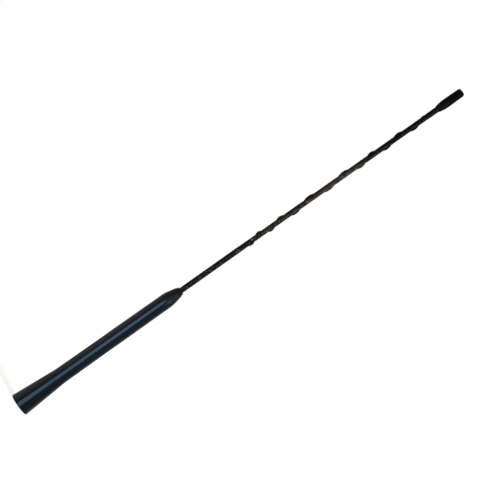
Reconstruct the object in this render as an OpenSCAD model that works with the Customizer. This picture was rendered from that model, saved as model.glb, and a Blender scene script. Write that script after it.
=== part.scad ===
// A screw-on roof mast aerial: a flared grip, a thin wound whip under a shrunk sleeve, and a tip cap.
// It stands along Z. The seat face of its ferrule, where the stud leaves it, is at the origin.
// Heights in the Customizer sections are in millimetres above the rim of the skirt.

/* [Mast] */
// Length from the skirt's rim to the tip
mast_length = 550; // [500:1:620]
// Depth of the seat face above the skirt's rim
skirt_depth = 16; // [14:0.5:20]

/* [Grip] */
// Diameter of the skirt at its rim, before its edge is rounded
rim_d = 24.6; // [22:0.1:27]
// Height at which the flare meets the straight part of the grip
flare_length = 51.3; // [44:0.1:60]
// Diameter of the grip at the top of the flare
grip_low_d = 16.9; // [15:0.05:18]
// Diameter of the grip at the shoulder of its nose
grip_high_d = 15.7; // [13:0.05:16]
// Height of the nose's end face
grip_length = 201; // [180:1:230]
// Length of the nose
nose_length = 15.4; // [12:0.1:20]
// Diameter at which the nose turns in towards its end
nose_turn_d = 10.8; // [9:0.1:12]
// Length of the nose's end that turns in
nose_turn_length = 3.8; // [2:0.1:6]
// Diameter of the nose's end face
nose_end_d = 7.7; // [6.8:0.1:9]
// Radius of the outer edge of the rim
rim_edge = 2.9; // [1:0.1:3]
// Radius that blends the flare into the straight part
flare_blend = 120; // [60:5:160]
// Radius of the nose's shoulder
nose_blend = 40; // [20:1:60]
// Radius that blends the nose into its end
turn_blend = 10; // [4:1:16]
// Radius of the edge of the nose's end face
nose_edge = 0.6; // [0.2:0.1:0.8]

/* [Socket in the skirt] */
// Diameter of the socket at the rim
socket_mouth_d = 16.8; // [15:0.1:17.2]
// Diameter of the socket at its floor
socket_floor_d = 15; // [13:0.1:16]
// Radius of the socket's edge at the rim
mouth_edge = 0.5; // [0.2:0.1:0.6]
// Radius in the corner of the socket's floor
floor_fillet = 0.6; // [0.3:0.1:1]

/* [Ferrule] */
// Diameter of the ferrule's flange
flange_d = 10; // [9:0.1:11]
// Thickness of the flange
flange_length = 4; // [3:0.1:5]
// How far the flange stands out of the socket's floor
flange_proud = 1; // [0.5:0.1:2]
// Diameter of the rings that the moulding grips
ring_d = 9.2; // [8.4:0.1:10]
// Width of each ring
ring_width = 3; // [2:0.1:4]
// Width of the groove below each ring
groove_width = 2; // [1.5:0.1:3]
// Diameter of the ferrule in its grooves
groove_d = 7.4; // [7:0.1:8]
// Diameter of the barrel that is crimped on the rod
barrel_d = 6.8; // [6:0.1:7.4]
// Length of the ferrule
ferrule_length = 32; // [28:1:40]
// Depth of each crimp
crimp_depth = 0.35; // [0.1:0.05:0.5]
// Width of each crimp
crimp_width = 2; // [1.5:0.1:2.5]
// Depth of the rod in the barrel
rod_depth = 18; // [15:0.5:20]
// Chamfer at the outer edge of the seat face
seat_chamfer = 0.4; // [0.2:0.05:0.8]
// Gap between the stud's thread and the inner edge of the seat face
seat_relief = 0.15; // [0.1:0.05:0.4]

/* [Stud] */
// Diameter of the stud's thread
stud_d = 5; // [4:0.1:6]
// Length of the stud below the seat face
stud_length = 10.5; // [8:0.1:12]
// Diameter of the shank that is pressed in the ferrule
shank_d = 4.4; // [3:0.1:4.6]
// Length of the pressed shank
shank_length = 8; // [6:0.1:10]
// Chamfer at the stud's end
stud_chamfer = 0.6; // [0.3:0.1:0.9]

/* [Whip] */
// Diameter of the glass-fibre rod
rod_d = 3.2; // [2.6:0.1:3.6]
// Diameter of the receiving wire
wire_d = 0.4; // [0.3:0.05:0.6]
// Pitch of the wire inside the grip
lead_pitch = 30; // [15:1:60]
// Pitch of the wire below the spiral
low_pitch = 4; // [3:0.1:6]
// Pitch of the wire under the spiral
high_pitch = 3.1; // [2.5:0.1:6]
// Wall of the sleeve where it lies plain
plain_wall = 0.71; // [0.4:0.01:0.8]
// Wall of the sleeve where it is drawn over the cord
drawn_wall = 0.52; // [0.2:0.01:0.6]

/* [Spiral] */
// Diameter of the cord under the sleeve
cord_d = 1.1; // [0.8:0.05:1.4]
// Length of plain whip between the nose and the cord
plain_low = 82.7; // [60:0.1:100]
// Length of plain whip between the cord and the cap
plain_high = 16.7; // [14:0.1:40]
// Relative lengths of the half turns between crests, from the bottom up
half_turns = [12.6, 12.1, 14.2, 15.2, 21.3, 20.7, 21.8, 18.2, 15.7, 15.7, 17.7, 16.7];
// Part of a turn that the cord makes before its first crest on the right
lead_turn = 0.1; // [0:0.05:0.25]
// Part of a turn that the cord makes after its last crest on the right
tail_turn = 0.4; // [0:0.05:0.5]
// Length over which the sleeve closes beyond each end of the cord
drape = 3; // [2:0.1:5]

/* [Tip cap] */
// Length of the cap
cap_length = 31.3; // [28:0.1:40]
// Largest diameter of the cap, before its shoulder is rounded
cap_d = 9.6; // [8:0.02:10.4]
// Diameter of the cap at its tip
cap_tip_d = 8.9; // [8:0.02:9.6]
// Wall of the cap at its mouth
cap_lip = 0.4; // [0.2:0.01:0.7]
// Length of the cap's tapered mouth
cap_taper = 7.4; // [5:0.1:10]
// Radius of the cap's shoulder
cap_shoulder = 34; // [15:1:44]
// Radius of the cap's round end
cap_edge = 3.9; // [2:0.1:4]
// Height of the low crown in the middle of the round end
cap_crown = 0.3; // [0.1:0.1:0.6]
// Depth of the sleeve in the cap
sleeve_depth = 12; // [8:0.1:15]
// Thickness of the cap beyond the rod's end
cap_end = 7; // [5:0.1:12]

/* [Clearances] */
// Gap between pieces that are pressed, crimped or moulded on each other
bond_gap = 0.04; // [0.02:0.01:0.08]
// Gap between the layers of the whip
layer_gap = 0.02; // [0.01:0.01:0.04]
// Gap between the cord and the sleeve
cord_gap = 0.08; // [0.07:0.01:0.12]

/* [Hidden] */
$fn = 64;

// Sections per turn, sides of each section, and points of the sleeve's outline on one side of the crest
cord_steps = 15;
cord_sides = 8;
wire_steps = 8;
wire_sides = 4;
half_outline = [0, 8, 15, 34, 56, 87, 118, 149];
outline = concat(half_outline, [180], [for (i = [len(half_outline) - 1:-1:1]) 360 - half_outline[i]]);
widest_step = 31;

// Heights above the seat face
rim_z = -skirt_depth;
tip_z = rim_z + mast_length;
knuckle_z = rim_z + flare_length;
nose_end_z = rim_z + grip_length;
shoulder_z = nose_end_z - nose_length;
cap_z = tip_z - cap_length;
rod_low_z = ferrule_length - rod_depth;
rod_high_z = tip_z - cap_end;
sleeve_low_z = ferrule_length + layer_gap;
sleeve_high_z = cap_z + sleeve_depth;
cord_low_z = nose_end_z + plain_low;
cord_high_z = cap_z - plain_high;

// Radii of the whip's layers, from the rod outwards
rod_r = rod_d / 2;
wire_path_r = (rod_r + layer_gap + wire_d / 2) / cos(180 / wire_steps);
wound_r = wire_path_r + wire_d / 2;
lining_r = (wound_r + layer_gap) / cos(widest_step / 2);
plain_r = lining_r + plain_wall;
cord_path_r = (wound_r + layer_gap + cord_d / 2) / cos(180 / cord_steps);
cord_seat_r = cord_d / 2 + cord_gap;

// Sum of the first n entries of a list
function sum_to(list, n) = n < 1 ? 0 : list[n - 1] + sum_to(list, n - 1);

// Vector of length one along v
function unit(v) = v / norm(v);

// Height of each crest of the spiral, as pairs of turn and height
share_total = sum_to(half_turns, len(half_turns)) + 2 * lead_turn * half_turns[0]
    + 2 * tail_turn * half_turns[len(half_turns) - 1];
share_length = (cord_high_z - cord_low_z) / share_total;
first_crest_z = cord_low_z + 2 * lead_turn * half_turns[0] * share_length;
crests = [for (i = [0:len(half_turns)]) [i / 2, first_crest_z + sum_to(half_turns, i) * share_length]];
cord_turns = concat([[-lead_turn, cord_low_z]], crests, [[len(half_turns) / 2 + tail_turn, cord_high_z]]);
cord_first_turn = cord_turns[0][0];
cord_last_turn = cord_turns[len(cord_turns) - 1][0];
function cord_angle(turn) = -360 * turn;
function cord_z(turn) = lookup(turn, cord_turns);
station_count = round((cord_last_turn - cord_first_turn) * cord_steps);
cord_stations = [for (i = [0:station_count])
    cord_first_turn + (cord_last_turn - cord_first_turn) * i / station_count];

// Height of the wire, as pairs of turn and height: a long lead, then the low and the high winding
wire_low_z = sleeve_low_z + wire_d;
wire_high_z = sleeve_high_z - wire_d;
lead_turns = (nose_end_z - wire_low_z) / lead_pitch;
low_turns = (cord_low_z - nose_end_z) / low_pitch;
high_turns = (wire_high_z - cord_low_z) / high_pitch;
wire_turns = [
    [0, wire_low_z],
    [lead_turns, nose_end_z],
    [lead_turns + low_turns, cord_low_z],
    [lead_turns + low_turns + high_turns, wire_high_z]];

// Point on a winding of radius r
function wound_point(r, angle, z) = [r * cos(angle), r * sin(angle), z];

// Triangles between rings of points, each ring n long, wound so that they face outwards.
// The quads are cut so that the cuts follow a winding that turns clockwise as it rises.
function ring_faces(a, b, n) = [for (k = [0:n - 1]) let (next = (k + 1) % n)
    each [[a * n + k, b * n + k, b * n + next], [a * n + k, b * n + next, a * n + next]]];
function ring_faces_back(a, b, n) = [for (k = [0:n - 1]) let (next = (k + 1) % n)
    each [[a * n + k, b * n + k, a * n + next], [b * n + k, b * n + next, a * n + next]]];

// A round strand of radius r along a path that winds round Z
module strand(path, r, sides) {
    last = len(path) - 1;
    points = [for (i = [0:last]) let (
        along = unit(path[min(i + 1, last)] - path[max(i - 1, 0)]),
        side = unit(cross(along, [path[i].x, path[i].y, 0])),
        out = cross(side, along))
        for (k = [0:sides - 1])
            path[i] + r * (cos(360 * k / sides) * out - sin(360 * k / sides) * side)];
    low_end = [[for (k = [0:sides - 1]) k]];
    high_end = [[for (k = [sides - 1:-1:0]) last * sides + k]];
    walls = [for (i = [0:last - 1]) each ring_faces(i, i + 1, sides)];
    polyhedron(points, concat(low_end, walls, high_end));
}

// Points that round the corner p between its neighbours a and b, given as radius, height and edge radius.
// Two edge radii that meet on one line share its length.
function round_corner(a, p, b, steps = 8) =
    let (at = [p[0], p[1]],
         to_a = [a[0], a[1]] - at,
         to_b = [b[0], b[1]] - at,
         u = unit(to_a),
         v = unit(to_b),
         half = acos(u * v) / 2,
         room = min(norm(to_a) * p[2] / (p[2] + a[2]), norm(to_b) * p[2] / (p[2] + b[2])),
         r = min(p[2], room * tan(half)),
         centre = at + unit(u + v) * r / sin(half),
         start = at + u * r / tan(half) - centre,
         first = atan2(start.y, start.x),
         sweep = -sign(cross(u, v)) * (180 - 2 * half))
    [for (i = [0:steps]) let (angle = first + sweep * i / steps) centre + r * [cos(angle), sin(angle)]];

// An outline from corners given as radius, height and edge radius
function rounded(corners) =
    let (n = len(corners))
    [for (i = [0:n - 1])
        let (p = corners[i])
        each p[2] > 0 ? round_corner(corners[(i + n - 1) % n], p, corners[(i + 1) % n]) : [[p[0], p[1]]]];

// Outside of the ferrule from the barrel's end down to the flange, grown by gap
ring_low_z = [for (i = [0:1]) flange_length + groove_width + i * (ring_width + groove_width)];
barrel_low_z = ring_low_z[1] + ring_width;
crimp_low_z = [for (i = [1:2]) barrel_low_z + i * (ferrule_length - barrel_low_z) / 3 - crimp_width / 2];
crimp_profile = [[1, 0], [0.75, 1], [0.25, 1], [0, 0]];
function crimp(z, gap) = [for (p = crimp_profile)
    [barrel_d / 2 + gap - p[1] * crimp_depth, z + p[0] * crimp_width]];
function ferrule_outside(gap) = concat(
    [[barrel_d / 2 + gap, ferrule_length]],
    crimp(crimp_low_z[1], gap),
    crimp(crimp_low_z[0], gap),
    [[barrel_d / 2 + gap, barrel_low_z],
     [ring_d / 2 + gap, barrel_low_z], [ring_d / 2 + gap, ring_low_z[1]],
     [groove_d / 2 + gap, ring_low_z[1]], [groove_d / 2 + gap, ring_low_z[0] + ring_width],
     [ring_d / 2 + gap, ring_low_z[0] + ring_width], [ring_d / 2 + gap, ring_low_z[0]],
     [groove_d / 2 + gap, ring_low_z[0]], [groove_d / 2 + gap, flange_length],
     [flange_d / 2 + gap, flange_length]]);

module grip() {
    outside = [
        [rim_d / 2, rim_z, rim_edge],
        [grip_low_d / 2, knuckle_z, flare_blend],
        [grip_high_d / 2, shoulder_z, nose_blend],
        [nose_turn_d / 2, nose_end_z - nose_turn_length, turn_blend],
        [nose_end_d / 2, nose_end_z, nose_edge]];
    bore = [[plain_r + bond_gap, nose_end_z, 0], [plain_r + bond_gap, ferrule_length, 0]];
    held = [for (p = ferrule_outside(bond_gap)) [p[0], p[1], 0]];
    socket = [
        [flange_d / 2 + bond_gap, flange_proud, 0],
        [socket_floor_d / 2, flange_proud, floor_fillet],
        [socket_mouth_d / 2, rim_z, mouth_edge]];
    color("#20232a") rotate_extrude() polygon(rounded(concat(outside, bore, held, socket)));
}

module ferrule() {
    stud_hole_r = shank_d / 2 + bond_gap;
    relief_r = stud_d / 2 + seat_relief;
    inside = [
        [0, shank_length], [stud_hole_r, shank_length], [stud_hole_r, relief_r - stud_hole_r],
        [relief_r, 0], [flange_d / 2 - seat_chamfer, 0], [flange_d / 2, seat_chamfer]];
    outside = ferrule_outside(0);
    rod_hole = [[rod_r + bond_gap, ferrule_length], [rod_r + bond_gap, rod_low_z], [0, rod_low_z]];
    climbing = [for (i = [len(outside) - 1:-1:0]) outside[i]];
    color("#c9c4b4") rotate_extrude() polygon(concat(inside, climbing, rod_hole));
}

module threaded_stud() {
    r = stud_d / 2;
    color("#b8bcc2") rotate_extrude() polygon([
        [0, -stud_length], [r - stud_chamfer, -stud_length], [r, stud_chamfer - stud_length],
        [r, 0], [shank_d / 2, 0], [shank_d / 2, shank_length - bond_gap], [0, shank_length - bond_gap]]);
}

module core_rod() {
    color("#d8d2b8") translate([0, 0, rod_low_z]) cylinder(h = rod_high_z - rod_low_z, r = rod_r);
}

module radiator_wire() {
    count = floor((lead_turns + low_turns + high_turns) * wire_steps);
    path = [for (i = [0:count]) let (turn = i / wire_steps)
        wound_point(wire_path_r, 360 * turn, lookup(turn, wire_turns))];
    color("#b5652a") strand(path, wire_d / 2, wire_sides);
}

module spiral_cord() {
    path = [for (turn = cord_stations) wound_point(cord_path_r, cord_angle(turn), cord_z(turn))];
    color("#3a3a3a") strand(path, cord_d / 2, cord_sides);
}

// Radius of a skin drawn tight round the whip and the cord, at an angle from the crest.
// base is its radius round the whip alone, and seat its radius where it turns round the cord.
function skin_r(angle, base, seat) =
    let (off = min(angle, 360 - angle),
         leave = acos((base - seat) / cord_path_r),
         crest = atan2(seat * sin(leave), cord_path_r + seat * cos(leave)))
    off >= leave ? base
        : off > crest ? base / cos(leave - off)
        : cord_path_r * cos(off) + sqrt(seat * seat - pow(cord_path_r * sin(off), 2));

// One ring of the sleeve, a wall's thickness outside its lining, with the cord in it or without
function sleeve_ring(z, turn, wall, with_cord) = [for (a = outline)
    let (base = lining_r + wall, r = with_cord ? skin_r(a, base, cord_seat_r + wall) : base)
    wound_point(r, cord_angle(turn) + a, z)];

module sleeve() {
    // Height, turn and wall of each ring, and whether the cord is in it
    rings = concat(
        [[sleeve_low_z, cord_first_turn, plain_wall, false],
         [cord_low_z - drape, cord_first_turn, plain_wall, false]],
        [for (turn = cord_stations) [cord_z(turn), turn, drawn_wall, true]],
        [[cord_high_z + drape, cord_last_turn, plain_wall, false],
         [sleeve_high_z, cord_last_turn, plain_wall, false]]);
    n = len(rings);
    sides = len(outline);
    outer = [for (r = rings) each sleeve_ring(r[0], r[1], r[2], r[3])];
    inner = [for (i = [n - 1:-1:0]) each sleeve_ring(rings[i][0], rings[i][1], 0, rings[i][3])];
    faces = concat(
        [for (i = [0:n - 2]) each ring_faces(i, i + 1, sides)],
        ring_faces(n - 1, n, sides),
        [for (i = [n:2 * n - 2]) each ring_faces_back(i, i + 1, sides)],
        ring_faces(2 * n - 1, 0, sides));
    color("#2b2a29") polyhedron(concat(outer, inner), faces);
}

module tip_cap() {
    outside = [
        [plain_r + bond_gap + cap_lip, cap_z, 0],
        [cap_d / 2, cap_z + cap_taper, cap_shoulder],
        [cap_tip_d / 2, tip_z - cap_crown, cap_edge],
        [0, tip_z, 0]];
    inside = [
        [0, rod_high_z, 0], [rod_r + bond_gap, rod_high_z, 0],
        [rod_r + bond_gap, sleeve_high_z, 0], [plain_r + bond_gap, sleeve_high_z, 0],
        [plain_r + bond_gap, cap_z, 0]];
    color("#121212") rotate_extrude() polygon(rounded(concat(outside, inside)));
}

grip();
ferrule();
threaded_stud();
core_rod();
radiator_wire();
spiral_cord();
sleeve();
tip_cap();
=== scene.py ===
"""Looks of a screw-on roof mast aerial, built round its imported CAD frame.

Lengths are in millimetres, as in the CAD source, and become metres when a mesh is made.
The mast stands along Z, with the seat face of its ferrule at the origin.
"""

import math

import bpy
import numpy as np
from mathutils import Matrix, Vector


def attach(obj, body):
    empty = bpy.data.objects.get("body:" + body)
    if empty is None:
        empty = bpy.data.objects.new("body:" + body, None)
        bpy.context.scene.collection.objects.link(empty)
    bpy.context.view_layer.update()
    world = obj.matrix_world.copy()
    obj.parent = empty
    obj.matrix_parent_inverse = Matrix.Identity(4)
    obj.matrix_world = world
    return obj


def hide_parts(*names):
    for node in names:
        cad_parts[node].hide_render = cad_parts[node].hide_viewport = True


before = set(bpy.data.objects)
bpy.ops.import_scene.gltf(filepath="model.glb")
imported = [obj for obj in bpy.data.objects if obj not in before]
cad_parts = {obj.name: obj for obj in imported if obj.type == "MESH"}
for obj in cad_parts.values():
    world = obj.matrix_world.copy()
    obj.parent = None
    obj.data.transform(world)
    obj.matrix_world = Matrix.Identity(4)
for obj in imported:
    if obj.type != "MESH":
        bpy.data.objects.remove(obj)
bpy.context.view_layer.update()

MM = 0.001
ON_AXIS = 1e-6  # a smaller radius counts as zero
INSET = 0.03  # keeps the finer round rim inside the box of the faceted CAD solid

# ---- Sizes of the mast, as in the CAD source, but RIM_EDGE is 2.9 there ----
MAST_LENGTH, SKIRT_DEPTH = 550, 16
RIM_D, FLARE_LENGTH, GRIP_LOW_D, GRIP_HIGH_D = 24.6, 51.3, 16.9, 15.7
GRIP_LENGTH, NOSE_LENGTH, NOSE_TURN_D, NOSE_TURN_LENGTH, NOSE_END_D = 201, 15.4, 10.8, 3.8, 7.7
RIM_EDGE, FLARE_BLEND, NOSE_BLEND, TURN_BLEND, NOSE_EDGE = 3.35, 120, 40, 10, 0.6
SOCKET_MOUTH_D, SOCKET_FLOOR_D, MOUTH_EDGE, FLOOR_FILLET = 16.8, 15, 0.5, 0.6
FLANGE_D, FLANGE_LENGTH, FLANGE_PROUD = 10, 4, 1
RING_D, RING_WIDTH, GROOVE_WIDTH, GROOVE_D = 9.2, 3, 2, 7.4
BARREL_D, FERRULE_LENGTH, CRIMP_DEPTH, CRIMP_WIDTH, ROD_DEPTH = 6.8, 32, 0.35, 2, 18
SEAT_CHAMFER, SEAT_RELIEF = 0.4, 0.15
STUD_D, STUD_LENGTH, SHANK_D, SHANK_LENGTH, STUD_CHAMFER = 5, 10.5, 4.4, 8, 0.6
ROD_D, WIRE_D, LEAD_PITCH, LOW_PITCH, HIGH_PITCH = 3.2, 0.4, 30, 4, 3.1
PLAIN_WALL, DRAWN_WALL, CORD_D, PLAIN_LOW, PLAIN_HIGH = 0.71, 0.52, 1.1, 82.7, 16.7
HALF_TURNS = [12.6, 12.1, 14.2, 15.2, 21.3, 20.7, 21.8, 18.2, 15.7, 15.7, 17.7, 16.7]
LEAD_TURN, TAIL_TURN, DRAPE = 0.1, 0.4, 3
CAP_LENGTH, CAP_D, CAP_TIP_D, CAP_LIP, CAP_TAPER = 31.3, 9.6, 8.9, 0.4, 7.4
CAP_SHOULDER, CAP_EDGE, CAP_CROWN = 34, 3.9, 0.3
SLEEVE_DEPTH, CAP_END = 12, 7
BOND_GAP, LAYER_GAP, CORD_GAP = 0.04, 0.02, 0.08
WIRE_STEP, LINING_STEP, CORD_STEP = 45, 31, 24  # degrees between sections of the CAD's sweeps

# ---- Heights and radii that follow from them ----
RIM_Z = -SKIRT_DEPTH
TIP_Z = RIM_Z + MAST_LENGTH
KNUCKLE_Z = RIM_Z + FLARE_LENGTH
NOSE_END_Z = RIM_Z + GRIP_LENGTH
SHOULDER_Z = NOSE_END_Z - NOSE_LENGTH
CAP_Z = TIP_Z - CAP_LENGTH
ROD_LOW_Z = FERRULE_LENGTH - ROD_DEPTH
ROD_HIGH_Z = TIP_Z - CAP_END
SLEEVE_LOW_Z = FERRULE_LENGTH + LAYER_GAP
SLEEVE_HIGH_Z = CAP_Z + SLEEVE_DEPTH
CORD_LOW_Z = NOSE_END_Z + PLAIN_LOW
CORD_HIGH_Z = CAP_Z - PLAIN_HIGH
ROD_R = ROD_D / 2
WIRE_PATH_R = (ROD_R + LAYER_GAP + WIRE_D / 2) / math.cos(math.radians(WIRE_STEP / 2))
WOUND_R = WIRE_PATH_R + WIRE_D / 2
LINING_R = (WOUND_R + LAYER_GAP) / math.cos(math.radians(LINING_STEP / 2))
PLAIN_R = LINING_R + PLAIN_WALL
CORD_PATH_R = (WOUND_R + LAYER_GAP + CORD_D / 2) / math.cos(math.radians(CORD_STEP / 2))
CORD_SEAT_R = CORD_D / 2 + CORD_GAP

# ---- Turns of the spiral and of the wire against height ----
_crest_heights = np.concatenate([[0], np.cumsum(HALF_TURNS)])
_shares = _crest_heights[-1] + 2 * LEAD_TURN * HALF_TURNS[0] + 2 * TAIL_TURN * HALF_TURNS[-1]
_share_length = (CORD_HIGH_Z - CORD_LOW_Z) / _shares
_first_crest_z = CORD_LOW_Z + 2 * LEAD_TURN * HALF_TURNS[0] * _share_length
LAST_TURN = len(HALF_TURNS) / 2 + TAIL_TURN
CORD_TURNS = np.concatenate([[-LEAD_TURN], np.arange(len(HALF_TURNS) + 1) / 2, [LAST_TURN]])
_crests_z = _first_crest_z + _crest_heights * _share_length
CORD_HEIGHTS = np.concatenate([[CORD_LOW_Z], _crests_z, [CORD_HIGH_Z]])
_lead_turns = (NOSE_END_Z - SLEEVE_LOW_Z - WIRE_D) / LEAD_PITCH
_low_turns = (CORD_LOW_Z - NOSE_END_Z) / LOW_PITCH
_high_turns = (SLEEVE_HIGH_Z - WIRE_D - CORD_LOW_Z) / HIGH_PITCH
WIRE_TURNS = np.cumsum([0, _lead_turns, _low_turns, _high_turns])
WIRE_HEIGHTS = np.array([SLEEVE_LOW_Z + WIRE_D, NOSE_END_Z, CORD_LOW_Z, SLEEVE_HIGH_Z - WIRE_D])


# ---- Mesh helpers ----
def make_piece(name, points, faces, material, sharp_degrees=35):
    """A smooth mesh object from points in millimetres."""
    mesh = bpy.data.meshes.new(name)
    mesh.from_pydata((np.asarray(points, float) * MM).tolist(), [], faces)
    mesh.validate()
    mesh.polygons.foreach_set("use_smooth", [True] * len(mesh.polygons))
    mesh.set_sharp_from_angle(angle=math.radians(sharp_degrees))
    mesh.materials.append(material)
    piece = bpy.data.objects.new(name, mesh)
    bpy.context.scene.collection.objects.link(piece)
    return piece


def settle(piece, node):
    """The piece stands for a CAD node and rides where it rides."""
    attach(piece, "root")
    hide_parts(node)


def step_angles(sides):
    """The angles of equal steps round Z."""
    return np.arange(sides) * 2 * math.pi / sides


def smooth_step(low, high, value):
    """0 below low, 1 above high, and a smooth rise between them."""
    share = np.clip((value - low) / (high - low), 0, 1)
    return share * share * (3 - 2 * share)


def round_corner(before, corner, after, steps):
    """Points on the arc that rounds a corner, given as radius, height and edge radius."""
    at = np.array(corner[:2], float)
    to_a, to_b = np.array(before[:2]) - at, np.array(after[:2]) - at
    len_a, len_b = np.linalg.norm(to_a), np.linalg.norm(to_b)
    u, v = to_a / len_a, to_b / len_b
    half = math.acos(float(np.clip(u @ v, -1, 1))) / 2
    edge = corner[2]
    room = min(len_a * edge / (edge + before[2]), len_b * edge / (edge + after[2]))
    r = min(edge, room * math.tan(half))
    middle = (u + v) / np.linalg.norm(u + v)
    centre = at + middle * r / math.sin(half)
    start = at + u * r / math.tan(half) - centre
    first = math.atan2(start[1], start[0])
    sweep = -np.sign(u[0] * v[1] - u[1] * v[0]) * (math.pi - 2 * half)
    angles = first + sweep * np.linspace(0, 1, steps + 1)
    return [tuple(centre + r * np.array([math.cos(a), math.sin(a)])) for a in angles]


def rounded(corners, steps=14):
    """An outline from corners, each a radius, a height and an edge radius."""
    n = len(corners)
    outline = []
    for i, corner in enumerate(corners):
        if corner[2] > 0:
            outline += round_corner(corners[i - 1], corner, corners[(i + 1) % n], steps)
        else:
            outline.append((float(corner[0]), float(corner[1])))
    return outline


def cut_long(outline, longest, closed):
    """The outline with each long straight line cut into shorter ones."""
    cut = []
    count = len(outline)
    for i in range(count if closed else count - 1):
        a, b = np.array(outline[i]), np.array(outline[(i + 1) % count])
        parts = max(1, math.ceil(np.linalg.norm(b - a) / longest))
        cut += [tuple(a + (b - a) * k / parts) for k in range(parts)]
    if not closed:
        cut.append(tuple(outline[-1]))
    return cut


def lathe(name, outline, sides, material, longest=3.0):
    """A turned piece. An outline that starts on the axis ends there. Any other is a closed loop."""
    closed = outline[0][0] > ON_AXIS
    outline = cut_long(outline, longest, closed)
    angles = step_angles(sides)
    points, rings = [], []
    for r, z in outline:
        if r < ON_AXIS:
            rings.append([len(points)] * sides)
            points.append((0, 0, z))
        else:
            rings.append(list(range(len(points), len(points) + sides)))
            points += [(r * math.cos(a), r * math.sin(a), z) for a in angles]
    faces = []
    pairs = list(zip(rings, rings[1:] + rings[:1])) if closed else list(zip(rings, rings[1:]))
    for a, b in pairs:
        for k in range(sides):
            m = (k + 1) % sides
            face = list(dict.fromkeys([a[k], a[m], b[m], b[k]]))
            if len(face) > 2:
                faces.append(face)
    return make_piece(name, points, faces, material)


def grid_faces(rows, sides, start=0):
    """Quads between rows of points. Each row is a ring that turns with the outside on its right."""
    k = np.arange(sides)
    m = (k + 1) % sides
    base = start + np.arange(rows - 1)[:, None] * sides
    quads = np.stack([base + k, base + m, base + sides + m, base + sides + k], -1)
    return quads.reshape(-1, 4).tolist()


# ---- Material helpers ----
class Nodes:
    """Short calls that add shader nodes to one material."""

    def __init__(self, name):
        self.material = bpy.data.materials.new(name)
        self.material.use_nodes = True
        self.tree = self.material.node_tree
        self.shader = self.tree.nodes["Principled BSDF"]
        self.place = self.add("ShaderNodeTexCoord").outputs["Object"]

    def add(self, kind, **settings):
        """A new node of a kind, with its settings."""
        node = self.tree.nodes.new(kind)
        for key, value in settings.items():
            setattr(node, key, value)
        return node

    def link(self, source, target):
        self.tree.links.new(source, target)

    def put(self, socket, value):
        """A constant or a link, set on a socket."""
        if isinstance(value, bpy.types.NodeSocket):
            self.link(value, socket)
        else:
            socket.default_value = (*value, 1) if isinstance(value, tuple) else value

    def stretched(self, scale):
        """The object's coordinates times a scale for each axis."""
        node = self.add("ShaderNodeMapping")
        node.inputs["Scale"].default_value = scale
        self.link(self.place, node.inputs["Vector"])
        return node.outputs["Vector"]

    def noise(self, scale, detail=3, roughness=0.55, place=None):
        """Noise around 0.5, at a scale in waves per metre."""
        node = self.add("ShaderNodeTexNoise")
        node.inputs["Scale"].default_value = scale
        node.inputs["Detail"].default_value = detail
        node.inputs["Roughness"].default_value = roughness
        self.link(place or self.place, node.inputs["Vector"])
        return node.outputs["Fac"]

    def ramp(self, value, stops):
        """A smooth colour ramp, from stops of place and colour."""
        node = self.add("ShaderNodeValToRGB")
        node.color_ramp.interpolation = "EASE"
        elements = node.color_ramp.elements
        while len(elements) < len(stops):
            elements.new(0.5)
        for element, (at, colour) in zip(elements, stops):
            element.position = at
            element.color = (*colour, 1)
        self.link(value, node.inputs["Fac"])
        return node.outputs["Color"]

    def along(self, value, stops):
        """A smooth colour ramp over a height, from stops of height in metres and colour."""
        low, high = stops[0][0], stops[-1][0]
        shares = [((at - low) / (high - low), colour) for at, colour in stops]
        return self.ramp(self.span(value, 0, 1, low, high), shares)

    def span(self, value, low, high, from_low=0.0, from_high=1.0):
        """A value taken from one range to another."""
        node = self.add("ShaderNodeMapRange")
        node.inputs["From Min"].default_value = from_low
        node.inputs["From Max"].default_value = from_high
        node.inputs["To Min"].default_value = low
        node.inputs["To Max"].default_value = high
        self.link(value, node.inputs["Value"])
        return node.outputs["Result"]

    def math(self, operation, a, b):
        """A sum, product or maximum of two values, each a constant or a link."""
        node = self.add("ShaderNodeMath", operation=operation)
        self.put(node.inputs[0], a)
        self.put(node.inputs[1], b)
        return node.outputs["Value"]

    def mix(self, share, a, b, blend="MIX"):
        """Colour a, with b laid over it by a share."""
        node = self.add("ShaderNodeMix", data_type="RGBA", blend_type=blend)
        self.put(node.inputs["Factor"], share)
        self.put(node.inputs["A"], a)
        self.put(node.inputs["B"], b)
        return node.outputs["Result"]

    def axis(self, name):
        """The object's coordinate along X, Y or Z, in metres."""
        node = self.add("ShaderNodeSeparateXYZ")
        self.link(self.place, node.inputs["Vector"])
        return node.outputs[name]

    def near(self, spot, reach):
        """1 at a spot and 0 beyond its reach, with the spot and the reach in metres."""
        node = self.add("ShaderNodeVectorMath", operation="DISTANCE")
        self.link(self.place, node.inputs[0])
        node.inputs[1].default_value = spot
        return self.span(node.outputs["Value"], 1, 0, 0, reach)

    def bump(self, heights):
        """One bump after another, from pairs of a height socket and a distance in metres."""
        normal = None
        for value, distance in heights:
            node = self.add("ShaderNodeBump")
            node.inputs["Strength"].default_value = 1.0
            node.inputs["Distance"].default_value = distance
            self.link(value, node.inputs["Height"])
            if normal:
                self.link(normal, node.inputs["Normal"])
            normal = node.outputs["Normal"]
        self.link(normal, self.shader.inputs["Normal"])

    def finish(self, colour, roughness, **constants):
        """Sets the shader's colour and roughness, and constants by the names of their sockets."""
        self.put(self.shader.inputs["Base Color"], colour)
        self.put(self.shader.inputs["Roughness"], roughness)
        for key, value in constants.items():
            self.shader.inputs[key.replace("_", " ")].default_value = value
        return self.material


def grey(level):
    return (level, level, level)


def constants(level, metal=0.0, tint=(1, 1, 1)):
    """What is the same all over a surface: its specular level and tint, and whether it is metal."""
    return {"Specular_IOR_Level": level, "Metallic": metal, "Specular_Tint": (*tint, 1)}


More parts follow.
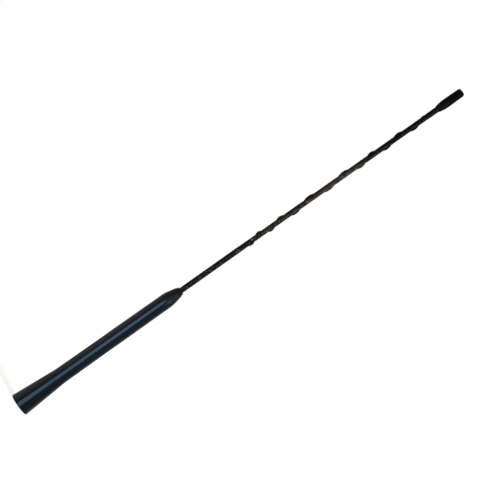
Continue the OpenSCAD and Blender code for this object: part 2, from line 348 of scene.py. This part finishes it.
def grip_material():
    """Satin black moulding with an orange peel, blue on the shaft, with painted shade darkening the
    flare and a painted warm reflection tone on the nose.
    """
    n = Nodes("grip_moulding")
    cloud = n.noise(70, detail=4)
    peel = n.noise(420, detail=2)
    grain = n.noise(5200, detail=2)
    # The flare's dark stop is painted shade, and the nose's warm stop is a painted reflection tone.
    along = n.along(n.axis("Z"), [
        (0.020, (0.0001, 0.0010, 0.0020)),
        (0.060, (0.0018, 0.0042, 0.0080)),
        (0.160, (0.0014, 0.0036, 0.0068)),
        (0.174, (0.0026, 0.0014, 0.0009)),
    ])
    colour = n.mix(1.0, along, n.mix(cloud, grey(0.8), grey(1.2)), blend="MULTIPLY")
    gloss = n.along(n.axis("Z"), [
        (0.030, grey(0.2)),
        (0.150, grey(0.15)),
        (0.160, grey(0.16)),
        (0.174, grey(0.42)),
    ])
    patchy = n.math("ADD", gloss, n.span(cloud, -0.02, 0.02, 0.3, 0.7))
    roughness = n.math("ADD", patchy, n.span(peel, -0.015, 0.015))
    n.bump([(peel, 0.00002), (grain, 0.000004)])
    return n.finish(colour, roughness, **constants(0.14, tint=(0.44, 0.68, 1)))


# Pale spots on the sleeve, partly worn patches and partly painted glints on the spiral's crests:
# the place of each and its reach, in millimetres
SCUFFS_AND_GLINTS = [
    ((-1.2, -2.9, 273.6), 3.0),
    ((0.5, -3.0, 306.4), 1.5),
    ((0.7, -3.0, 341.0), 2.2),
    ((1.4, -3.3, 438.2), 1.4),
]
# Colours of the painted glints and of the pale spots.
PAINTED_GLINT_COLOUR = (0.041, 0.041, 0.041)
SCUFF_AND_GLINT_COLOUR = (0.114, 0.111, 0.107)


def sleeve_material():
    """Shrunk black tube, dark at both ends and lighter and warmer along the middle, with painted
    light on its +X side and painted shade on its -X side.
    """
    n = Nodes("shrunk_sleeve")
    blotch = n.noise(38, detail=3, place=n.stretched((1, 1, 0.45)))
    hue = n.noise(64, detail=2)
    mottle = n.noise(280, detail=2, roughness=0.6)
    fine = n.noise(900, detail=3)
    grain = n.noise(4200, detail=2)
    wander = n.math("ADD", n.axis("Z"), n.span(blotch, -0.012, 0.012, 0.3, 0.7))
    along = n.along(wander, [
        (0.265, (0.0011, 0.0016, 0.002)),
        (0.300, (0.0126, 0.0119, 0.0111)),
        (0.345, (0.0154, 0.0139, 0.012)),
        (0.380, (0.0293, 0.0279, 0.0251)),
        (0.420, (0.0034, 0.003, 0.0026)),
        (0.456, grey(0.0004)),
    ])
    cast = n.ramp(hue, [(0.36, (0.9, 0.99, 1.04)), (0.5, grey(1)), (0.64, (1.14, 0.98, 0.82))])
    height_tone = n.mix(1.0, along, cast, blend="MULTIPLY")
    # Painted light: the colour is raised on the +X side and lowered on the -X side, above the
    # close-wound zone.
    painted_side_light = n.span(n.axis("X"), 0.35, 1.65, -0.0028, 0.0028)
    with_painted_side_light = n.mix(n.span(n.axis("Z"), 0, 1, 0.27, 0.3), height_tone, painted_side_light, blend="MULTIPLY")
    stain = n.ramp(mottle, [(0.3, grey(0.3)), (0.5, grey(0.85)), (0.72, (2.3, 2.28, 2.24))])
    stained = n.mix(1.0, with_painted_side_light, stain, blend="MULTIPLY")
    speck = n.ramp(fine, [(0.0, grey(0.72)), (0.5, grey(1)), (1.0, (1.5, 1.48, 1.44))])
    specked = n.mix(1.0, stained, speck, blend="MULTIPLY")
    # Painted glints: small pale specks laid on the close-wound zone.
    below_spiral = n.span(n.axis("Z"), 1, 0, 0.27, 0.33)
    painted_glint = n.math("MULTIPLY", n.span(mottle, 0, 1, 0.59, 0.67), below_spiral)
    with_painted_glints = n.mix(painted_glint, specked, PAINTED_GLINT_COLOUR)
    # Pale spots, partly wear and partly painted glints, laid over the colour.
    scuff_and_glint_mask = 0.0
    for spot, reach in SCUFFS_AND_GLINTS:
        scuff_and_glint_mask = n.math("MAXIMUM", scuff_and_glint_mask, n.near([at * MM for at in spot], reach * MM))
    scuff_and_glint_share = n.span(n.math("ADD", scuff_and_glint_mask, fine), 0, 1, 0.8, 1.4)
    colour = n.mix(scuff_and_glint_share, with_painted_glints, SCUFF_AND_GLINT_COLOUR)
    patchy = n.span(mottle, 0.33, 0.1, 0.3, 0.7)
    roughness = n.math("ADD", patchy, n.span(fine, -0.03, 0.03, 0.3, 0.7))
    n.bump([(mottle, 0.00012), (fine, 0.00004), (grain, 0.00001)])
    return n.finish(colour, roughness, **constants(0.043))


def cap_material():
    """Matt black moulding with a fine spark-eroded grain."""
    n = Nodes("cap_moulding")
    cloud = n.noise(120, detail=3)
    grain = n.noise(2600, detail=3, roughness=0.6)
    colour = n.mix(n.span(cloud, 0, 1, 0.35, 0.65), grey(0.0005), (0.0012, 0.0012, 0.0011))
    patchy = n.span(cloud, 0.34, 0.4, 0.3, 0.7)
    roughness = n.math("ADD", patchy, n.span(grain, -0.04, 0.04, 0.3, 0.7))
    n.bump([(grain, 0.000025)])
    return n.finish(colour, roughness, **constants(0.026))


def turned_metal(name, light, dark, ring_scale, rough_low, rough_high):
    """Plated metal with fine turning marks round Z and dull patches."""
    n = Nodes(name)
    cloud = n.noise(260, detail=4)
    marks = n.noise(ring_scale, detail=2, place=n.stretched((0.02, 0.02, 1)))
    wave = n.add("ShaderNodeTexWave", wave_type="RINGS", rings_direction="Z")
    wave.inputs["Scale"].default_value = 1400
    wave.inputs["Distortion"].default_value = 1.5
    n.link(n.place, wave.inputs["Vector"])
    colour = n.mix(n.span(cloud, 0, 1, 0.35, 0.7), light, dark)
    roughness = n.span(cloud, rough_low, rough_high, 0.3, 0.7)
    n.bump([(wave.outputs["Fac"], 0.000012), (marks, 0.000015)])
    return n.finish(colour, roughness, **constants(0.5, metal=1.0))


def glass_fibre_material():
    """Pale yellow glass-fibre rod with fibres that run along it."""
    n = Nodes("glass_fibre")
    fibres = n.noise(2600, detail=3, place=n.stretched((1, 1, 0.02)))
    cloud = n.noise(90, detail=2)
    colour = n.mix(fibres, (0.62, 0.58, 0.42), (0.82, 0.79, 0.66))
    n.bump([(fibres, 0.00002)])
    return n.finish(colour, n.span(cloud, 0.35, 0.5, 0.3, 0.7), **constants(0.4))


def wire_material():
    """Copper wire under clear enamel."""
    n = Nodes("enamelled_copper")
    cloud = n.noise(500, detail=3)
    colour = n.mix(cloud, (0.5, 0.16, 0.05), (0.7, 0.27, 0.1))
    n.bump([(n.noise(3000, detail=2), 0.000006)])
    return n.finish(colour, n.span(cloud, 0.2, 0.32, 0.3, 0.7), **constants(0.5, metal=0.9))


def cord_material():
    """Dull black extruded plastic cord."""
    n = Nodes("cord_plastic")
    cloud = n.noise(300, detail=3)
    colour = n.mix(cloud, grey(0.018), (0.035, 0.035, 0.034))
    n.bump([(n.noise(2400, detail=2), 0.00001)])
    return n.finish(colour, n.span(cloud, 0.55, 0.68, 0.3, 0.7), **constants(0.3))


# ---- Grip, ferrule and cap ----
CRIMP_PROFILE = [(1, 0), (0.75, 1), (0.25, 1), (0, 0)]  # shares of its width and of its depth


def crimp(z, gap):
    """Outline of the crimp whose lower edge is at z, from its upper edge down."""
    barrel = BARREL_D / 2 + gap
    return [(barrel - deep * CRIMP_DEPTH, z + at * CRIMP_WIDTH) for at, deep in CRIMP_PROFILE]


def ferrule_outside(gap):
    """Outside of the ferrule from the barrel's end down to the flange, grown by gap."""
    ring_low = [FLANGE_LENGTH + GROOVE_WIDTH + i * (RING_WIDTH + GROOVE_WIDTH) for i in range(2)]
    barrel_low = ring_low[1] + RING_WIDTH
    spacing = (FERRULE_LENGTH - barrel_low) / 3
    crimps = [barrel_low + i * spacing - CRIMP_WIDTH / 2 for i in (1, 2)]
    ring, groove = RING_D / 2 + gap, GROOVE_D / 2 + gap
    return [
        (BARREL_D / 2 + gap, FERRULE_LENGTH),
        *crimp(crimps[1], gap),
        *crimp(crimps[0], gap),
        (BARREL_D / 2 + gap, barrel_low),
        (ring, barrel_low),
        (ring, ring_low[1]),
        (groove, ring_low[1]),
        (groove, ring_low[0] + RING_WIDTH),
        (ring, ring_low[0] + RING_WIDTH),
        (ring, ring_low[0]),
        (groove, ring_low[0]),
        (groove, FLANGE_LENGTH),
        (FLANGE_D / 2 + gap, FLANGE_LENGTH),
    ]


def make_grip():
    """The moulding: flare, shaft and nose outside, bore, bed of the ferrule and socket inside."""
    outside = [
        (RIM_D / 2 - INSET, RIM_Z, RIM_EDGE),
        (GRIP_LOW_D / 2, KNUCKLE_Z, FLARE_BLEND),
        (GRIP_HIGH_D / 2, SHOULDER_Z, NOSE_BLEND),
        (NOSE_TURN_D / 2, NOSE_END_Z - NOSE_TURN_LENGTH, TURN_BLEND),
        (NOSE_END_D / 2, NOSE_END_Z, NOSE_EDGE),
    ]
    bore = [(PLAIN_R + BOND_GAP, NOSE_END_Z, 0), (PLAIN_R + BOND_GAP, FERRULE_LENGTH, 0)]
    held = [(r, z, 0) for r, z in ferrule_outside(BOND_GAP)]
    socket = [
        (FLANGE_D / 2 + BOND_GAP, FLANGE_PROUD, 0),
        (SOCKET_FLOOR_D / 2, FLANGE_PROUD, FLOOR_FILLET),
        (SOCKET_MOUTH_D / 2, RIM_Z, MOUTH_EDGE),
    ]
    outline = rounded(outside + bore + held + socket)
    piece = lathe("grip_moulding", outline, 144, grip_material())
    settle(piece, "grip")


def make_ferrule():
    """The turned foot, with a relief round the stud and a blind hole for the rod."""
    hole_r = SHANK_D / 2 + BOND_GAP
    relief_r = STUD_D / 2 + SEAT_RELIEF
    inside = [
        (0, SHANK_LENGTH, 0),
        (hole_r, SHANK_LENGTH, 0),
        (hole_r, relief_r - hole_r, 0),
        (relief_r, 0, 0),
        (FLANGE_D / 2 - SEAT_CHAMFER, 0, 0.05),
        (FLANGE_D / 2, SEAT_CHAMFER, 0.15),
    ]
    climbing = [(r, z, 0) for r, z in reversed(ferrule_outside(0))]
    rod_hole_r = ROD_R + BOND_GAP
    rod_hole = [(rod_hole_r, FERRULE_LENGTH, 0), (rod_hole_r, ROD_LOW_Z, 0), (0, ROD_LOW_Z, 0)]
    outline = rounded(inside + climbing + rod_hole, steps=4)
    metal = turned_metal("plated_brass", (0.71, 0.68, 0.6), (0.6, 0.56, 0.46), 9000, 0.24, 0.36)
    piece = lathe("ferrule_turned", outline, 96, metal, longest=1.5)
    settle(piece, "ferrule")


def make_cap():
    """The tip cap, with a stepped hole for the sleeve and the rod."""
    outside = [
        (PLAIN_R + BOND_GAP + CAP_LIP, CAP_Z, 0.12),
        (CAP_D / 2, CAP_Z + CAP_TAPER, CAP_SHOULDER),
        (CAP_TIP_D / 2, TIP_Z - CAP_CROWN, CAP_EDGE),
        (0, TIP_Z, 0),
    ]
    inside = [
        (0, ROD_HIGH_Z, 0),
        (ROD_R + BOND_GAP, ROD_HIGH_Z, 0),
        (ROD_R + BOND_GAP, SLEEVE_HIGH_Z, 0),
        (PLAIN_R + BOND_GAP, SLEEVE_HIGH_Z, 0),
        (PLAIN_R + BOND_GAP, CAP_Z, 0.1),
    ]
    outline = rounded(outside + inside)
    start = [i for i, point in enumerate(outline) if point[0] < ON_AXIS][1]
    outline = outline[start:] + outline[:start]
    piece = lathe("cap_moulding", outline, 96, cap_material(), longest=1.2)
    settle(piece, "tip_cap")


# ---- Stud with a real thread ----
THREAD_PITCH, THREAD_DEPTH = 0.8, 0.49
THREAD_CREST, THREAD_FLANK = 0.25, 0.625  # shares of half a pitch
THREAD_ROW = 0.05  # height from one row of points to the next
RUN_OUT_LOW_Z, RUN_OUT_HIGH_Z = -0.9, -0.1
SHANK_CHAMFER = 0.3
THREAD_INSET = 0.02  # keeps the thread inside the CAD's cylinder


def make_stud():
    """M5 x 0.8 thread with flat crests and roots, a chamfered end and a run-out below the shank."""
    sides = 72
    heights = np.arange(-STUD_LENGTH, 1e-9, THREAD_ROW)
    angles = step_angles(sides)
    z, a = np.meshgrid(heights, angles, indexing="ij")
    phase = np.abs((z / THREAD_PITCH - a / (2 * math.pi)) % 1 - 0.5) * 2
    groove = np.clip((phase - THREAD_CREST) / THREAD_FLANK, 0, 1) * THREAD_DEPTH
    run_out = 1 - smooth_step(RUN_OUT_LOW_Z, RUN_OUT_HIGH_Z, z)
    thread = STUD_D / 2 - groove * run_out - THREAD_INSET
    chamfer = STUD_D / 2 - STUD_CHAMFER + (z + STUD_LENGTH)
    r = np.minimum(thread, chamfer)
    points = np.stack([r * np.cos(a), r * np.sin(a), z], -1).reshape(-1, 3).tolist()
    rows = len(heights)
    faces = grid_faces(rows, sides)
    shank_top = SHANK_LENGTH - BOND_GAP
    shank = [
        (SHANK_D / 2, 0.0),
        (SHANK_D / 2, shank_top - SHANK_CHAMFER),
        (SHANK_D / 2 - SHANK_CHAMFER, shank_top),
    ]
    for radius, height in shank:
        points += [(radius * math.cos(t), radius * math.sin(t), height) for t in angles]
        rows += 1
    faces += grid_faces(len(shank) + 1, sides, start=(rows - len(shank) - 1) * sides)
    low, high = len(points), len(points) + 1
    points += [(0, 0, -STUD_LENGTH), (0, 0, shank_top)]
    last = (rows - 1) * sides
    for k in range(sides):
        m = (k + 1) % sides
        faces.append([low, m, k])
        faces.append([high, last + k, last + m])
    metal = turned_metal("zinc_steel", (0.62, 0.63, 0.65), (0.5, 0.51, 0.52), 6000, 0.26, 0.4)
    piece = make_piece("stud_threaded", points, faces, metal, sharp_degrees=25)
    settle(piece, "threaded_stud")


# ---- Wire and cord ----
END_BULGE = 0.4  # how far the end of a strand stands out, as a share of its radius
WIRE_POINTS_PER_TURN, CORD_POINTS = 16, 312
WIRE_SINK, WIRE_SHARE = 0.04, 0.92  # keep the round wire within the sleeve's lining
CORD_INSET = 0.02  # does the same for the cord


def make_strand(name, path, r, sides, material):
    """A round strand along a path that winds round Z."""
    path = np.asarray(path)
    along = np.gradient(path, axis=0)
    along /= np.linalg.norm(along, axis=1)[:, None]
    outward = path * [1, 1, 0]
    side = np.cross(along, outward)
    side /= np.linalg.norm(side, axis=1)[:, None]
    out = np.cross(side, along)
    angles = step_angles(sides)[None, :, None]
    rings = path[:, None] + r * (np.cos(angles) * out[:, None] + np.sin(angles) * side[:, None])
    points = rings.reshape(-1, 3).tolist()
    count = len(path)
    faces = grid_faces(count, sides)
    low_end = path[0] - along[0] * r * END_BULGE
    high_end = path[-1] + along[-1] * r * END_BULGE
    for ring, at, order in ((0, low_end, 1), (count - 1, high_end, -1)):
        tip = len(points)
        points.append(at.tolist())
        for k in range(sides):
            a, b = ring * sides + k, ring * sides + (k + 1) % sides
            faces.append([tip, b, a][::order])
    return make_piece(name, points, faces, material, sharp_degrees=60)


def make_wire():
    """The enamelled wire: a long lead in the grip, then close turns up to the cap."""
    turns = np.linspace(0, WIRE_TURNS[-1], int(WIRE_TURNS[-1] * WIRE_POINTS_PER_TURN))
    z = np.interp(turns, WIRE_TURNS, WIRE_HEIGHTS)
    a = turns * 2 * math.pi
    r = WIRE_PATH_R - WIRE_SINK
    path = np.stack([r * np.cos(a), r * np.sin(a), z], -1)
    piece = make_strand("wire_winding", path, WIRE_D / 2 * WIRE_SHARE, 6, wire_material())
    settle(piece, "radiator_wire")


def make_cord():
    """The cord under the sleeve, which turns the other way from the wire."""
    turns = np.linspace(CORD_TURNS[0], CORD_TURNS[-1], CORD_POINTS)
    z = np.interp(turns, CORD_TURNS, CORD_HEIGHTS)
    a = -turns * 2 * math.pi
    path = np.stack([CORD_PATH_R * np.cos(a), CORD_PATH_R * np.sin(a), z], -1)
    piece = make_strand("cord_spiral", path, CORD_D / 2 - CORD_INSET, 12, cord_material())
    settle(piece, "spiral_cord")


# ---- Sleeve drawn over the winding and the spiral ----
SLEEVE_SIDES = 90
ENTRY = 3  # how far below the nose's end the sleeve's fine rows begin
CAP_ENTRY = 2  # how far inside the cap they end
RIPPLE_PLACES = [NOSE_END_Z, CORD_LOW_Z, CORD_LOW_Z + 8, CORD_HIGH_Z, CAP_Z]
RIPPLE_HEIGHTS = [0.13, 0.13, 0.1, 0.1, 0.05]
RIPPLE_WIDTH = 0.75  # share of half the wire's pitch
RIPPLE_MIDDLE = 0.4  # share of a ripple that lies below the plain skin
RIPPLE_HIDDEN = 0.65  # share of a ripple that the cord's crest hides


def skin_radius(off, base, seat):
    """Radius of a skin drawn tight round the whip and the cord, off radians from the crest."""
    leave = np.arccos((base - seat) / CORD_PATH_R)
    crest = np.arctan2(seat * np.sin(leave), CORD_PATH_R + seat * np.cos(leave))
    bridge = base / np.cos(np.clip(leave - off, 0, 1.3))
    across = CORD_PATH_R * np.sin(off)
    top = CORD_PATH_R * np.cos(off) + np.sqrt(np.maximum(seat**2 - across**2, 0))
    return np.where(off >= leave, base, np.where(off > crest, bridge, top))


def between(z, rise, fall):
    """1 between a smooth rise and a smooth fall, each from a low to a high, and 0 elsewhere."""
    return smooth_step(*rise, z) * (1 - smooth_step(*fall, z))


def skin(heights, plain_wall, drawn_wall, ripples):
    """Rows of points on a skin that lies on the lining with a wall of its own, ripples or not."""
    z, a = np.meshgrid(heights, step_angles(SLEEVE_SIDES), indexing="ij")
    turn = np.interp(heights, CORD_HEIGHTS, CORD_TURNS)[:, None]
    off = np.abs((a / (2 * math.pi) + turn + 0.5) % 1 - 0.5) * 2 * math.pi
    lifted = between(
        z,
        rise=(CORD_LOW_Z - DRAPE, CORD_LOW_Z + 0.5),
        fall=(CORD_HIGH_Z - 0.5, CORD_HIGH_Z + DRAPE),
    )
    drawn = between(
        z,
        rise=(CORD_LOW_Z - 4 * DRAPE, CORD_LOW_Z),
        fall=(CORD_HIGH_Z, CORD_HIGH_Z + 2 * DRAPE),
    )
    base = LINING_R + plain_wall + (drawn_wall - plain_wall) * drawn
    over = skin_radius(off, LINING_R + drawn_wall, CORD_SEAT_R + drawn_wall)
    proud = np.maximum(over - (LINING_R + drawn_wall), 0)
    r = base + proud * lifted
    if ripples:
        turns = np.interp(z, WIRE_HEIGHTS, WIRE_TURNS)
        phase = np.abs((turns - a / (2 * math.pi) + 0.5) % 1 - 0.5) * 2
        crest = 1 - smooth_step(0, RIPPLE_WIDTH, phase)
        height = np.interp(z, RIPPLE_PLACES, RIPPLE_HEIGHTS)
        masked = 1 - RIPPLE_HIDDEN * np.clip(proud / proud.max(), 0, 1) * lifted
        slow = np.sin(0.43 * z + 1.7 * np.sin(0.11 * z))
        quick = np.sin(0.97 * z + 2 * a)
        uneven = 1 + 0.35 * slow + 0.3 * quick
        r = r + height * masked * uneven * (crest - RIPPLE_MIDDLE)
    return np.stack([r * np.cos(a), r * np.sin(a), z], -1).reshape(-1, 3)


def make_sleeve():
    """The shrunk skin: outside from its lower end up, and back down the lining."""
    outer_z = np.concatenate([
        np.linspace(SLEEVE_LOW_Z, NOSE_END_Z - ENTRY, 24)[:-1],
        np.linspace(NOSE_END_Z - ENTRY, CAP_Z + CAP_ENTRY, 800)[:-1],
        np.linspace(CAP_Z + CAP_ENTRY, SLEEVE_HIGH_Z, 8),
    ])
    inner_z = np.concatenate([
        np.linspace(SLEEVE_HIGH_Z, CORD_HIGH_Z + DRAPE, 6)[:-1],
        np.linspace(CORD_HIGH_Z + DRAPE, CORD_LOW_Z - DRAPE, 150)[:-1],
        np.linspace(CORD_LOW_Z - DRAPE, SLEEVE_LOW_Z, 6),
    ])
    outer = skin(outer_z, PLAIN_WALL, DRAWN_WALL, ripples=True)
    inner = skin(inner_z, 0, 0, ripples=False)
    points = np.concatenate([outer, inner])
    rows = len(outer_z) + len(inner_z)
    faces = grid_faces(rows, SLEEVE_SIDES)
    last = (rows - 1) * SLEEVE_SIDES
    for k in range(SLEEVE_SIDES):
        m = (k + 1) % SLEEVE_SIDES
        faces.append([last + k, last + m, m, k])
    piece = make_piece("sleeve_skin", points, faces, sleeve_material(), sharp_degrees=60)
    settle(piece, "sleeve")


# ---- The rod keeps its CAD solid and gets a material ----
def dress_rod():
    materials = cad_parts["core_rod"].data.materials
    materials.clear()
    materials.append(glass_fibre_material())


make_grip()
make_ferrule()
make_stud()
make_wire()
make_cord()
make_sleeve()
make_cap()
dress_rod()


# ---- Camera: square to the mast as in the photograph, and rolled so that it lies across ----
IMAGE_WIDTH = 481
MAST_PIXELS = 543.3
PIXEL = 0.55 / MAST_PIXELS  # metres of the mast to a pixel
SENSOR = 36.0
DISTANCE = 2.2
ROLL = math.radians(35.26)
RAISED, LEFT = 8.35 * PIXEL, 0.2 * PIXEL  # how far it looks above and left of the mast's middle

back = Vector((0, -1, 0))
along = Vector((0, 0, 1))
across = Vector((1, 0, 0))
right = math.cos(ROLL) * along + math.sin(ROLL) * across
up = math.sin(ROLL) * along - math.cos(ROLL) * across
target = Vector((0, 0, (RIM_Z + TIP_Z) / 2 * MM)) + up * RAISED - right * LEFT
camera = bpy.data.objects.new("camera", bpy.data.cameras.new("camera"))
bpy.context.scene.collection.objects.link(camera)
camera.matrix_world = Matrix((
    (right.x, up.x, back.x, target.x + back.x * DISTANCE),
    (right.y, up.y, back.y, target.y + back.y * DISTANCE),
    (right.z, up.z, back.z, target.z + back.z * DISTANCE),
    (0, 0, 0, 1),
))
camera.data.sensor_width = SENSOR
camera.data.lens = SENSOR * DISTANCE / (IMAGE_WIDTH * PIXEL)
bpy.context.scene.camera = camera


# ---- Floor, world and lamps ----
WHITE = (1, 1, 1, 1)
AMBIENT = 0.15  # strength of the world for what it lights, where white is 1
FLOOR_HALF = 1.6  # metres from the middle of the floor to its edge
FLOOR_GAP = 0.15  # millimetres below the rim
GLOW_LOW, GLOW_HIGH = 0.72, 1.0  # strength of the floor's glow, near the mast and far from it
GLOW_START, GLOW_END = 0.1, 0.6  # metres from the mast between which it rises


def seen_directly(tree):
    """1 for camera, glossy and transmission rays, 0 for the rest."""
    path = tree.nodes.new("ShaderNodeLightPath")
    value = path.outputs["Is Camera Ray"]
    for name in ("Is Glossy Ray", "Is Transmission Ray"):
        node = tree.nodes.new("ShaderNodeMath")
        node.operation = "MAXIMUM"
        tree.links.new(value, node.inputs[0])
        tree.links.new(path.outputs[name], node.inputs[1])
        value = node.outputs["Value"]
    return value


def make_world():
    """White for what sees it directly, and a weak even light for the rest."""
    world = bpy.data.worlds.new("studio")
    world.use_nodes = True
    tree = world.node_tree
    ambient = tree.nodes["Background"]
    ambient.inputs["Color"].default_value = WHITE
    ambient.inputs["Strength"].default_value = AMBIENT
    white = tree.nodes.new("ShaderNodeBackground")
    white.inputs["Color"].default_value = WHITE
    white.inputs["Strength"].default_value = 1.0
    mix = tree.nodes.new("ShaderNodeMixShader")
    tree.links.new(seen_directly(tree), mix.inputs[0])
    tree.links.new(ambient.outputs[0], mix.inputs[1])
    tree.links.new(white.outputs[0], mix.inputs[2])
    tree.links.new(mix.outputs[0], tree.nodes["World Output"].inputs["Surface"])
    bpy.context.scene.world = world


def make_floor():
    """A pale floor just below the rim. It glows for what sees it directly, more so further out."""
    z = (RIM_Z - FLOOR_GAP) * MM
    corners = [(x * FLOOR_HALF, y * FLOOR_HALF, z) for x, y in ((-1, -1), (1, -1), (1, 1), (-1, 1))]
    mesh = bpy.data.meshes.new("floor")
    mesh.from_pydata(corners, [], [(0, 1, 2, 3)])
    floor = bpy.data.objects.new("floor", mesh)
    bpy.context.scene.collection.objects.link(floor)
    n = Nodes("pale_floor")
    distance = n.add("ShaderNodeVectorMath", operation="LENGTH")
    n.link(n.place, distance.inputs[0])
    share = n.span(distance.outputs["Value"], GLOW_LOW, GLOW_HIGH, GLOW_START, GLOW_END)
    glow = n.math("MULTIPLY", share, seen_directly(n.tree))
    n.link(glow, n.shader.inputs["Emission Strength"])
    n.shader.inputs["Emission Color"].default_value = WHITE
    mesh.materials.append(n.finish(grey(0.82), 0.9, **constants(0.0)))
    floor.visible_glossy = False
    floor.visible_shadow = False


LAMPS = [
    # name, place, what it looks at, width and height, all in metres, then watts and colour
    ("key", (-0.17, -1.44, -0.03), (0, 0, 0.05), (1.0, 0.42), 14, (1.0, 0.92, 0.87)),
    ("side", (0.99, -0.92, 0.44), (0, 0, 0.40), (0.6, 0.3), 10.5, (1.0, 0.98, 0.95)),
    ("warm", (-1.25, -0.34, -0.02), (0, 0, 0.10), (1.2, 0.26), 2.2, (1.0, 0.49, 0.13)),
    ("crown", (0.5, -1.3, 0.6), (0, 0, 0.20), (0.9, 0.38), 3.2, (1.0, 0.79, 0.62)),
    ("rear", (0, 1.5, 0.3), (0, 0, 0.26), (0.8, 0.8), 2, (1.0, 1.0, 1.0)),
]


def area_light(name, place, aim, size, power, colour):
    """A rectangular lamp at a place, turned to look at a point, its width level."""
    light = bpy.data.lights.new(name, "AREA")
    light.shape = "RECTANGLE"
    light.size, light.size_y = size
    light.energy = power
    light.color = colour
    lamp = bpy.data.objects.new(name, light)
    bpy.context.scene.collection.objects.link(lamp)
    lamp.location = place
    lamp.rotation_mode = "QUATERNION"
    lamp.rotation_quaternion = (Vector(place) - Vector(aim)).to_track_quat("Z", "Y")
    lamp.visible_camera = False


make_world()
make_floor()
for row in LAMPS:
    area_light(*row)

bpy.context.scene.view_settings.view_transform = "Standard"
